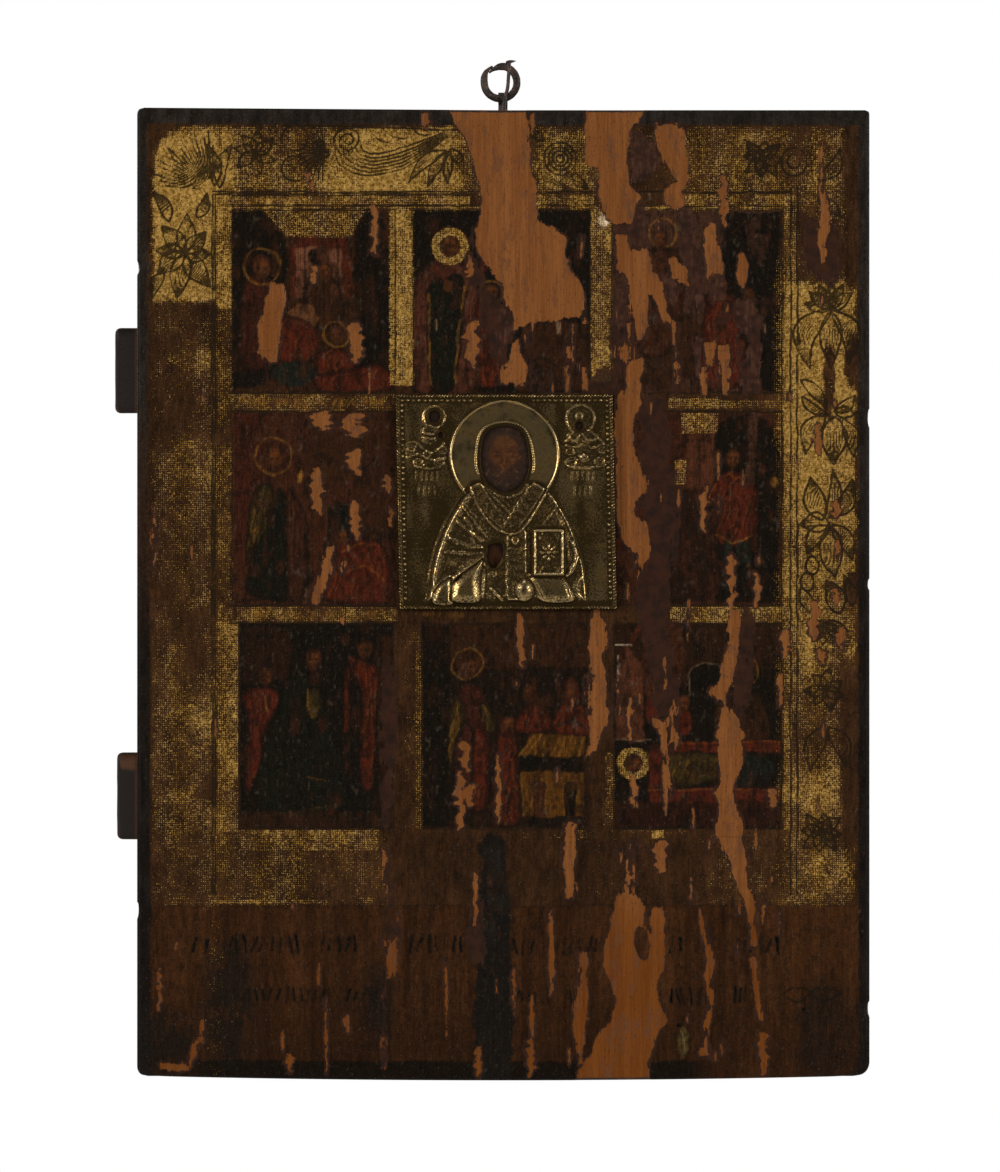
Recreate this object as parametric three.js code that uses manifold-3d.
// A painted icon on a wooden board, made to hang on a wall: two dovetail battens let into the back,
// a small inset icon under an embossed metal cover, and a forged ring in the top edge.
// Millimetres. Every piece is built face-on: x to the right, y up, z towards the viewer. The whole
// group is then stood upright, so that +Z is up and the painted face looks along -Y.
// The origin is the ring's inner top, where a wall hook carries the icon.
import * as THREE from "three";
import { mergeVertices } from "three/addons/utils/BufferGeometryUtils.js";
import Module from "manifold-3d";

const wasm = await Module();
wasm.setup();

// Driving dimensions
const fitGap = 0.3;

const ring = {
  meanRadius: 8.95,
  wireRadius: 2.05,
  tipShare: 0.3, // thickness of the forged tips, as a share of the wire's
  lapOffset: 1.05, // the two tips pass each other this far off the mean circle
  lapShare: 0.06, // share of the rod that lies in the lap
  startAngle: THREE.MathUtils.degToRad(140),
  sweep: THREE.MathUtils.degToRad(384),
};

const eye = {
  centreX: 1.3,
  width: 5.1,
  innerRadius: 3.0,
  strapThickness: 1.3,
  stemHalf: 1.6,
  depthInWood: 24,
};

const nail = {
  radius: 1.0,
  planeZ: 5.7,
  depthInWood: 18,
  headWidth: 5.8,
  headHeight: 2.2,
  headDepth: 2.6,
};

const board = {
  width: 400,
  height: 530,
  thickness: 28,
  centreX: 1.5,
  gapUnderRing: 16.2, // from the ring's centre down to the top edge
  topLeftRise: 1.4, // the top edge climbs this much from its middle to the left corner
  bottomBow: 2.4,
  bevel: 1.4,
  cornerRadius: { topLeft: 4, topRight: 2.5, bottomLeft: 6, bottomRight: 9 },
};

// Chips knocked out of the board's long edges: side, distance below the top edge, length, depth
const edgeChips = [
  { side: -1, drop: 86, length: 7, depth: 1.5 },
  { side: 1, drop: 168, length: 10, depth: 1.0 },
  { side: 1, drop: 259, length: 6, depth: 1.1 },
  { side: 1, drop: 491, length: 8, depth: 1.3 },
  { side: -1, drop: 437, length: 9, depth: 0.9 },
];

// Battens: centre below the top edge, heights at the two ends, reach past the left edge
const battens = [
  { name: "upper_batten", drop: 141.7, leftHeight: 47, rightHeight: 42, leftReach: 13, rightInset: 7 },
  { name: "lower_batten", drop: 375.1, leftHeight: 48, rightHeight: 53, leftReach: 12, rightInset: 3 },
];
const batten = {
  depthInWood: 10,
  proud: 8, // stands this far off the board's back
  backShare: 0.87, // height at the back face, as a share of the height at the front face
  endRadius: 3.5,
  bevel: 0.8,
};

const inset = {
  width: 118.8,
  height: 117.6,
  lean: 1.1, // the foot is this far to the right of the middle, the head as far to the left
  centreX: 3.1,
  drop: 214, // its centre below the board's top edge
  depthInWood: 6,
  proud: 3,
  sheet: 0.6,
};

// Layout of the embossed cover, from the plate's centre
const halo = { x: -0.9, y: 25.4, radius: 30.4 };
const faceOpening = { x: -1.4, y: 22.6, halfWidth: 15.2, halfHeight: 20, flare: 0.12 };
const handOpening = { x: -6.4, y: -29.5, halfWidth: 4, halfHeight: 6.6, flare: 0 };
const book = { x: 22.2, y: -28.4, width: 17.6, height: 26.8, thickness: 2.6, rim: 1.5 };
const beads = { radius: 1.0, height: 1.1, pitch: 3.9, inFromEdge: 3.4, sides: 5 };
const edgeCordRadius = 1.0;

// Places that follow from the sizes above
const ringCentreY = -(ringPathRadius(ringTurnAt(Math.PI / 2)) - ringWireRadius(ringTurnAt(Math.PI / 2)));
const boardTop = ringCentreY - board.gapUnderRing;
const boardLeft = board.centreX - board.width / 2;
const boardRight = board.centreX + board.width / 2;
const boardFront = board.thickness / 2;
const boardBack = -board.thickness / 2;
const coverBack = inset.proud + fitGap; // above the board's front
const coverFront = coverBack + inset.sheet;

const finishes = {
  paintedBoard: new THREE.MeshStandardMaterial({ color: 0x2b1c10, roughness: 0.55, metalness: 0 }),
  battenWood: new THREE.MeshStandardMaterial({ color: 0x231812, roughness: 0.7, metalness: 0 }),
  insetPaint: new THREE.MeshStandardMaterial({ color: 0x4a2412, roughness: 0.5, metalness: 0 }),
  coverMetal: new THREE.MeshStandardMaterial({ color: 0x6b5c34, roughness: 0.38, metalness: 0.9 }),
  forgedIron: new THREE.MeshStandardMaterial({ color: 0x3a322d, roughness: 0.8, metalness: 0.7 }),
};

// Solids from geometry, and back
function solidOf(geometry) {
  const bare = new THREE.BufferGeometry().setAttribute("position", geometry.getAttribute("position"));
  bare.setIndex(geometry.index);
  const merged = mergeVertices(bare, 1e-4);
  const corners = merged.index.array;
  const kept = [];
  for (let i = 0; i < corners.length; i += 3) {
    const [a, b, c] = corners.slice(i, i + 3);
    if (a !== b && b !== c && c !== a) kept.push(a, b, c);
  }
  const triVerts = new Uint32Array(kept);
  return new wasm.Manifold(
    new wasm.Mesh({ numProp: 3, vertProperties: merged.attributes.position.array, triVerts }),
  );
}

function geometryOf(solid) {
  const mesh = solid.getMesh();
  const geometry = new THREE.BufferGeometry();
  geometry.setAttribute("position", new THREE.BufferAttribute(mesh.vertProperties, 3));
  geometry.setIndex(new THREE.BufferAttribute(mesh.triVerts, 1));
  geometry.computeVertexNormals();
  return geometry;
}

function joined(geometries) {
  return geometries.map(solidOf).reduce((all, next) => all.add(next));
}

function smooth(t) {
  const s = THREE.MathUtils.clamp(t, 0, 1);
  return s * s * (3 - 2 * s);
}

// A closed round bar along a curve, its radius given at each share of the length
function taperedBar(curve, radiusAt, sides, steps) {
  const frames = curve.computeFrenetFrames(steps, false);
  const points = [];
  const index = [];
  for (let i = 0; i <= steps; i++) {
    const centre = curve.getPointAt(i / steps);
    for (let j = 0; j < sides; j++) {
      const angle = (j / sides) * 2 * Math.PI;
      const out = frames.normals[i].clone().multiplyScalar(Math.cos(angle));
      out.addScaledVector(frames.binormals[i], Math.sin(angle));
      points.push(centre.clone().addScaledVector(out, radiusAt(i / steps)));
    }
  }
  for (let i = 0; i < steps; i++) {
    for (let j = 0; j < sides; j++) {
      const a = i * sides + j;
      const b = i * sides + ((j + 1) % sides);
      index.push(a, b, a + sides, b, b + sides, a + sides);
    }
  }
  const last = steps * sides;
  for (let j = 1; j < sides - 1; j++) {
    index.push(0, j + 1, j, last, last + j, last + j + 1);
  }
  return new THREE.BufferGeometry().setFromPoints(points).setIndex(index);
}

// The hanging ring: one rod bent round, its forged tips lapped at the upper left
function ringTurnAt(angle) {
  return (ring.startAngle - angle) / ring.sweep;
}

function ringPathRadius(turn) {
  const settle = 2 * ring.lapShare;
  const inner = 1 - smooth((turn - ring.lapShare) / settle);
  const outer = smooth((turn - 1 + ring.lapShare + settle) / settle);
  return ring.meanRadius + ring.lapOffset * (outer - inner);
}

function ringWireRadius(turn) {
  const body = smooth(Math.min(turn, 1 - turn) / (2.5 * ring.lapShare));
  return ring.wireRadius * (ring.tipShare + (1 - ring.tipShare) * body);
}

class RingRod extends THREE.Curve {
  getPoint(turn, target = new THREE.Vector3()) {
    const angle = ring.startAngle - turn * ring.sweep;
    const radius = ringPathRadius(turn);
    return target.set(radius * Math.cos(angle), ringCentreY + radius * Math.sin(angle), 0);
  }
}

function hangingRing() {
  return taperedBar(new RingRod(), ringWireRadius, 8, 44);
}

// The strap eye: an iron strap bent round the ring's foot, both ends driven into the top edge
function eyeCentreY() {
  const rise = ring.meanRadius - Math.sqrt(ring.meanRadius ** 2 - (eye.centreX + eye.width / 4) ** 2);
  return ringCentreY - ring.meanRadius + rise;
}

function strapEye() {
  const outerRadius = eye.innerRadius + eye.strapThickness;
  const neck = Math.asin(eye.stemHalf / outerRadius);
  const centreY = eyeCentreY();
  const tipY = boardTop - eye.depthInWood;
  const profile = new THREE.Shape();
  profile.moveTo(0, tipY);
  profile.lineTo(eye.stemHalf, tipY + 2 * eye.stemHalf);
  profile.absarc(0, centreY, outerRadius, neck - Math.PI / 2, 1.5 * Math.PI - neck, false);
  profile.lineTo(-eye.stemHalf, tipY + 2 * eye.stemHalf);
  const loop = new THREE.Path();
  loop.absarc(0, centreY, eye.innerRadius, 0, 2 * Math.PI, true);
  profile.holes.push(loop);
  const strap = new THREE.ExtrudeGeometry(profile, {
    depth: eye.width,
    bevelEnabled: false,
    curveSegments: 12,
  });
  strap.translate(0, 0, -eye.width / 2);
  strap.rotateY(Math.PI / 2);
  return strap.translate(eye.centreX, 0, 0);
}

// The keeper nail: driven down in front of the eye, its flat head bent over the ring
function nailCurve() {
  return new THREE.CatmullRomCurve3([
    new THREE.Vector3(1.6, boardTop - nail.depthInWood, nail.planeZ),
    new THREE.Vector3(1.7, boardTop, nail.planeZ),
    new THREE.Vector3(2.4, ringCentreY - 8.5, nail.planeZ),
    new THREE.Vector3(3.9, ringCentreY - 2.9, nail.planeZ),
    new THREE.Vector3(4.8, ringCentreY + 10.6, nail.planeZ),
  ]);
}

function keeperNail() {
  const shank = taperedBar(nailCurve(), (t) => nail.radius * (0.35 + 0.65 * smooth(t / 0.3)), 7, 18);
  const head = new THREE.CylinderGeometry(nail.headDepth / 2, nail.headDepth / 2, nail.headWidth, 7);
  head.scale(0.85, 1, nail.headHeight / nail.headDepth);
  const place = head.getAttribute("position");
  for (let i = 0; i < place.count; i++) {
    const beak = place.getY(i) < 0 ? 0.35 : 1; // one end is drawn out to a beak
    place.setXYZ(i, place.getX(i) * beak, place.getY(i), place.getZ(i) * beak);
  }
  head.rotateZ(Math.PI / 2 - 0.12);
  head.rotateX(Math.PI / 2);
  head.translate(5.6, ringCentreY + 11, nail.planeZ);
  return joined([shank, head]);
}

// The board, with its bowed foot, worn corners, batten grooves and the bed of the inset icon
function boardOutline() {
  const radius = board.cornerRadius;
  const bottom = boardTop - board.height + board.bottomBow;
  const topLeft = boardTop + board.topLeftRise;
  const shape = new THREE.Shape();
  shape.moveTo(boardLeft + radius.bottomLeft, bottom);
  const sag = bottom - 2 * board.bottomBow;
  shape.quadraticCurveTo(board.centreX, sag, boardRight - radius.bottomRight, bottom);
  shape.quadraticCurveTo(boardRight, bottom, boardRight, bottom + radius.bottomRight);
  shape.lineTo(boardRight, boardTop - radius.topRight);
  shape.quadraticCurveTo(boardRight, boardTop, boardRight - radius.topRight, boardTop);
  shape.lineTo(board.centreX, boardTop);
  shape.lineTo(boardLeft + radius.topLeft, topLeft);
  shape.quadraticCurveTo(boardLeft, topLeft, boardLeft, topLeft - radius.topLeft);
  shape.lineTo(boardLeft, bottom + radius.bottomLeft);
  shape.quadraticCurveTo(boardLeft, bottom, boardLeft + radius.bottomLeft, bottom);
  return shape;
}

function wholeBoard() {
  const blank = new THREE.ExtrudeGeometry(boardOutline(), {
    depth: board.thickness - 2 * board.bevel,
    bevelEnabled: true,
    bevelThickness: board.bevel,
    bevelSize: board.bevel,
    bevelOffset: -board.bevel,
    bevelSegments: 2,
    curveSegments: 8,
  });
  return solidOf(blank.translate(0, 0, boardBack + board.bevel));
}

function chipCutter(chip) {
  const edgeX = chip.side < 0 ? boardLeft : boardRight;
  const cutter = new THREE.SphereGeometry(1, 8, 6);
  cutter.scale(chip.depth, chip.length / 2, 0.55 * board.thickness);
  return solidOf(cutter.translate(edgeX, boardTop - chip.drop, boardFront));
}

function battenGroove(row) {
  const leftX = boardLeft - row.leftReach - 2 * batten.endRadius;
  const rightX = boardRight + batten.endRadius;
  return solidOf(battenBar(row, { spare: fitGap, leftX, rightX, bevel: 0 }));
}

function hangerHoles() {
  const shank = new THREE.BoxGeometry(
    eye.width + 2 * fitGap,
    2 * (eye.depthInWood + fitGap),
    2 * (eye.stemHalf + fitGap),
  );
  shank.translate(eye.centreX, boardTop, 0);
  const spike = taperedBar(nailCurve(), () => nail.radius + fitGap, 8, 18);
  return joined([shank, spike]);
}

function panelBoard() {
  const bed = plate(inset.depthInWood, fitGap + 0.1, boardFront - inset.depthInWood, 2 * inset.proud);
  const cutters = [
    ...edgeChips.map(chipCutter),
    ...battens.map(battenGroove),
    hangerHoles(),
    solidOf(bed.translate(inset.centreX, boardTop - inset.drop, 0)),
  ];
  return cutters.reduce((left, cutter) => left.subtract(cutter), wholeBoard());
}

// A batten: a dovetail bar, tapered along its length, its left end rounded where it stands out
function battenBar(row, { spare, leftX, rightX, bevel }) {
  const leftEnd = boardLeft - row.leftReach;
  const rightEnd = boardRight - row.rightInset;
  const halfAt = (x) => {
    const share = (x - leftEnd) / (rightEnd - leftEnd);
    return THREE.MathUtils.lerp(row.leftHeight, row.rightHeight, share) / 2 + spare;
  };
  const radius = batten.endRadius;
  const shape = new THREE.Shape();
  shape.moveTo(leftX + radius, -halfAt(leftX));
  shape.lineTo(rightX, -halfAt(rightX));
  shape.lineTo(rightX, halfAt(rightX));
  shape.lineTo(leftX + radius, halfAt(leftX));
  shape.quadraticCurveTo(leftX, halfAt(leftX), leftX, halfAt(leftX) - radius);
  shape.lineTo(leftX, radius - halfAt(leftX));
  shape.quadraticCurveTo(leftX, -halfAt(leftX), leftX + radius, -halfAt(leftX));
  const depth = batten.depthInWood + batten.proud;
  const bar = new THREE.ExtrudeGeometry(shape, {
    depth: depth + 2 * spare - 2 * bevel,
    bevelEnabled: bevel > 0,
    bevelThickness: bevel,
    bevelSize: bevel,
    bevelOffset: -bevel,
    bevelSegments: 2,
    curveSegments: 5,
  });
  bar.translate(0, 0, boardBack - batten.proud - spare + bevel);
  const place = bar.getAttribute("position");
  for (let i = 0; i < place.count; i++) {
    const share = (boardBack + batten.depthInWood - place.getZ(i)) / depth;
    const dovetail = THREE.MathUtils.lerp(1, batten.backShare, share);
    place.setY(i, place.getY(i) * dovetail);
  }
  return bar.translate(0, boardTop - row.drop, 0);
}

function battenPiece(row) {
  const leftX = boardLeft - row.leftReach;
  const rightX = boardRight - row.rightInset;
  return battenBar(row, { spare: 0, leftX, rightX, bevel: batten.bevel });
}

// A slab with the inset icon's leaning outline, larger by spare on every side
function plate(depth, spare, bottomZ, extraDepth = 0) {
  const halfWidth = inset.width / 2 + spare;
  const halfHeight = inset.height / 2 + spare;
  const shape = new THREE.Shape();
  shape.moveTo(-halfWidth + inset.lean, -halfHeight);
  shape.lineTo(halfWidth + inset.lean, -halfHeight);
  shape.lineTo(halfWidth - inset.lean, halfHeight);
  shape.lineTo(-halfWidth - inset.lean, halfHeight);
  const slab = new THREE.ExtrudeGeometry(shape, { depth: depth + extraDepth, bevelEnabled: false });
  return slab.translate(0, 0, bottomZ);
}

function leanAt(y) {
  return (-inset.lean * y) / (inset.height / 2);
}

function insetIcon() {
  const wall = inset.sheet + fitGap;
  return plate(inset.depthInWood - fitGap + inset.proud, -wall, fitGap - inset.depthInWood);
}

// The embossed cover: a sheet folded over the inset icon's edges, with its relief raised on it
function coverSheet() {
  const outside = solidOf(plate(coverFront - fitGap, 0, fitGap));
  const inside = solidOf(plate(coverBack, -inset.sheet, 0));
  return outside.subtract(inside);
}

function haloDish() {
  const profile = [
    [0, -0.2],
    [halo.radius, -0.2],
    [halo.radius, 0.7],
    [halo.radius - 0.9, 1.5],
    [halo.radius - 2.4, 1.0],
    [halo.radius * 0.6, 0.6],
    [0, 1.0],
  ].map(([r, h]) => new THREE.Vector2(r, h));
  const dish = new THREE.LatheGeometry(profile, 32);
  return dish.rotateX(Math.PI / 2).translate(halo.x, halo.y, coverFront);
}

// The robed half-figure: half-widths of the cope from the hem up to the shoulder
const copeSide = [
  [44.3, -55],
  [41.8, -34],
  [37.2, -19],
  [31.8, -6.8],
  [21.8, 8.5],
  [9, 13],
];

function copeBody() {
  const right = copeSide.map(([x, y]) => new THREE.Vector2(x, y));
  const left = copeSide.map(([x, y]) => new THREE.Vector2(-x, y)).reverse();
  const shape = new THREE.Shape();
  shape.moveTo(right[0].x, right[0].y);
  shape.splineThru(right.slice(1));
  shape.lineTo(left[0].x, left[0].y);
  shape.splineThru(left.slice(1));
  const cope = new THREE.ExtrudeGeometry(shape, {
    depth: 0.3,
    bevelEnabled: true,
    bevelThickness: 2.2,
    bevelSize: 4,
    bevelOffset: -4,
    bevelSegments: 3,
    curveSegments: 2,
  });
  return cope.translate(0, 0, coverFront);
}

function ridge(points, radius, height) {
  const curve = new THREE.CatmullRomCurve3(points.map(([x, y]) => new THREE.Vector3(x, y, 0)));
  const bar = taperedBar(curve, (t) => radius * (0.4 + 0.6 * Math.sin(Math.PI * t)), 6, 8);
  return bar.translate(0, 0, coverFront + height);
}

function copeFolds() {
  const folds = [
    [[-20, 4], [-29, -12], [-36, -34], [-40, -52]],
    [[-14, -6], [-24, -22], [-33, -40]],
    [[-38, -48], [-27, -38], [-12, -31]],
    [[-31, -53], [-20, -46], [-11, -36]],
    [[22, 4], [31, -10], [38, -30], [41, -52]],
    [[16, -3], [29, -13], [35, -30]],
    [[34, -31], [37, -42], [33, -53]],
  ];
  return folds.map((points) => ridge(points, 2.1, 2.4));
}

function bar(from, to, width, height, bottom) {
  const along = new THREE.Vector2(to[0] - from[0], to[1] - from[1]);
  const strip = new THREE.BoxGeometry(along.length(), width, height);
  strip.rotateZ(along.angle());
  const middle = [(from[0] + to[0]) / 2, (from[1] + to[1]) / 2];
  return strip.translate(middle[0], middle[1], coverFront + bottom + height / 2);
}

// The stole: two bands from the shoulders that meet on the breast, and the fall below them
function stole() {
  const meet = [2, -16];
  const bands = [
    bar([-20, 9], meet, 8, 1.4, 2.3),
    bar([20, 9], meet, 8, 1.4, 2.4),
    bar([4.8, -17], [4.8, -55], 11, 1.2, 2.2),
  ];
  const edges = [
    ridge([[-23, 6], [-10, -9], [2, -20]], 0.9, 3.6),
    ridge([[22, 6], [13, -8], [2, -20]], 0.9, 3.6),
    ridge([[-13, 9], [-4, -2], [1, -8]], 0.8, 3.6),
    ridge([[13, 9], [4, -2], [-1, -8]], 0.8, 3.6),
  ];
  return [...bands, ...edges];
}

function bookBlock() {
  const { x, y, width, height, thickness, rim } = book;
  const block = bar([x - width / 2, y], [x + width / 2, y], height, thickness, 2);
  const top = thickness + 2;
  const left = x - width / 2 + rim / 2;
  const right = x + width / 2 - rim / 2;
  const upper = y + height / 2 - rim / 2;
  const lower = y - height / 2 + rim / 2;
  const frame = [
    bar([left, lower], [left, upper], rim, 0.8, top - 0.1),
    bar([right, lower], [right, upper], rim, 0.8, top - 0.1),
    bar([left, upper], [right, upper], rim, 0.8, top - 0.1),
    bar([left, lower], [right, lower], rim, 0.8, top - 0.1),
  ];
  const studs = [[0, 0, 2.4], [-1, -1, 1.3], [-1, 1, 1.3], [1, -1, 1.3], [1, 1, 1.3]].map(([i, j, r]) =>
    dome(x + i * width * 0.28, y + j * height * 0.33, r, r, 0.9, top - 0.1),
  );
  return [block, ...frame, ...studs];
}

// A low rounded boss on the sheet
function dome(x, y, halfWidth, halfHeight, height, bottom, sides = 8) {
  const boss = new THREE.CylinderGeometry(0.45, 1, 1, sides, 1);
  boss.translate(0, 0.5, 0).rotateX(Math.PI / 2);
  boss.scale(halfWidth, halfHeight, height + 0.2);
  return boss.translate(x, y, coverFront + bottom - 0.2);
}

function drapedHand() {
  return [
    dome(9.5, -48, 8, 6.5, 2.6, 2.2, 10),
    dome(23.5, -47, 11.5, 6, 2.2, 2.2, 10),
    ridge([[14, -41], [17, -47], [17, -54]], 1.1, 4.4),
    ridge([[31, -42], [34, -48], [34, -54]], 1.1, 4.2),
  ];
}

// A corner medallion: a ring, a half-figure in it and a bank of rolled cloud below
function medallion({ x, y, radius, bustWidth }) {
  const hoop = new THREE.TorusGeometry(radius, 0.65, 4, 16).translate(x, y, coverFront);
  const bust = dome(x, y - radius - 1.2, bustWidth, 4.6, 1.6, 0);
  const cloud = [-2, -1, 0, 1, 2].map((step) => {
    const roll = new THREE.TorusGeometry(2.6, 0.8, 4, 8);
    const sag = 1.3 * Math.cos(step * 0.8);
    return roll.translate(x + step * 4.6, y - radius - 9.5 - sag, coverFront);
  });
  return [hoop, bust, ...cloud];
}

const medallions = [
  { x: -40.6, y: 46.3, radius: 6, bustWidth: 4.6, faceRadius: 2.7 },
  { x: 40.4, y: 45.6, radius: 7.6, bustWidth: 7.2, faceRadius: 2.4 },
];

// Two rows of plain ticks stand where the sheet is inscribed
function tickRows() {
  const ticks = [];
  for (const centreX of [-43.5, 41.5]) {
    for (const [row, y] of [14.2, 6.2].entries()) {
      for (let i = 0; i < 5 - row; i++) {
        const x = centreX + (i - 2 + row / 2) * 2.9;
        ticks.push(bar([x, y - 2.4], [x, y + 2.4], 0.9, 0.7, -0.2));
      }
    }
  }
  return ticks;
}

function beadRows() {
  const row = [];
  const columnX = inset.width / 2 - beads.inFromEdge;
  const half = Math.floor(inset.height / 2 / beads.pitch) - 1;
  for (let i = -half; i <= half; i++) {
    const y = i * beads.pitch;
    for (const side of [-1, 1]) {
      row.push([side * columnX + leanAt(y), y]);
    }
    const clearOfHalo = Math.abs(y - halo.x) > 0.55 * halo.radius;
    if (clearOfHalo) {
      row.push([y, inset.height / 2 - beads.inFromEdge]);
    }
  }
  return row.map(([x, y]) => dome(x, y, beads.radius, beads.radius, beads.height, 0, beads.sides));
}

function edgeCords() {
  const halfX = inset.width / 2 - edgeCordRadius;
  const halfY = inset.height / 2 - edgeCordRadius;
  const corners = [
    [-halfX, -halfY],
    [halfX, -halfY],
    [halfX, halfY],
    [-halfX, halfY],
  ].map(([x, y]) => new THREE.Vector3(x + leanAt(y), y, coverFront - 0.1));
  return corners.map((corner, i) => {
    const side = new THREE.LineCurve3(corner, corners[(i + 1) % 4]);
    return taperedBar(side, () => edgeCordRadius, 8, 1);
  });
}

// A punch for an opening, its upper end wider by the flare
function through({ x, y, halfWidth, halfHeight, flare }, sides) {
  const punch = new THREE.CylinderGeometry(1, 1, 30, sides).rotateX(Math.PI / 2);
  const place = punch.getAttribute("position");
  for (let i = 0; i < place.count; i++) {
    place.setX(i, place.getX(i) * (1 + flare * place.getY(i)));
  }
  return solidOf(punch.scale(halfWidth, halfHeight, 1).translate(x, y, coverFront));
}

function metalCover() {
  const relief = joined([
    haloDish(),
    copeBody(),
    ...copeFolds(),
    ...stole(),
    ...bookBlock(),
    ...drapedHand(),
    ...medallions.flatMap(medallion),
    ...tickRows(),
    ...beadRows(),
    ...edgeCords(),
  ]);
  const underside = solidOf(plate(20, 2, coverBack + 0.1 - 20));
  const faces = medallions.map(({ x, y, faceRadius }) =>
    through({ x, y, halfWidth: faceRadius, halfHeight: faceRadius, flare: 0 }, 12),
  );
  const openings = [through(faceOpening, 28), through(handOpening, 16), ...faces];
  const raised = coverSheet().add(relief.subtract(underside));
  return openings.reduce((left, opening) => left.subtract(opening), raised);
}

// Assembly
function piece(name, geometry, finish) {
  const mesh = new THREE.Mesh(geometry, finish);
  mesh.name = name;
  return mesh;
}

const insetGroup = new THREE.Group();
insetGroup.position.set(inset.centreX, boardTop - inset.drop, boardFront);
insetGroup.add(piece("inset_icon", insetIcon(), finishes.insetPaint));
insetGroup.add(piece("metal_cover", geometryOf(metalCover()), finishes.coverMetal));

const icon = new THREE.Group();
icon.add(piece("panel", geometryOf(panelBoard()), finishes.paintedBoard));
for (const row of battens) {
  icon.add(piece(row.name, battenPiece(row), finishes.battenWood));
}
icon.add(insetGroup);
icon.add(piece("hanging_ring", hangingRing(), finishes.forgedIron));
icon.add(piece("ring_eye", strapEye(), finishes.forgedIron));
icon.add(piece("keeper_nail", geometryOf(keeperNail()), finishes.forgedIron));
icon.rotation.x = Math.PI / 2;

const part = new THREE.Group();
part.add(icon);
export default part;
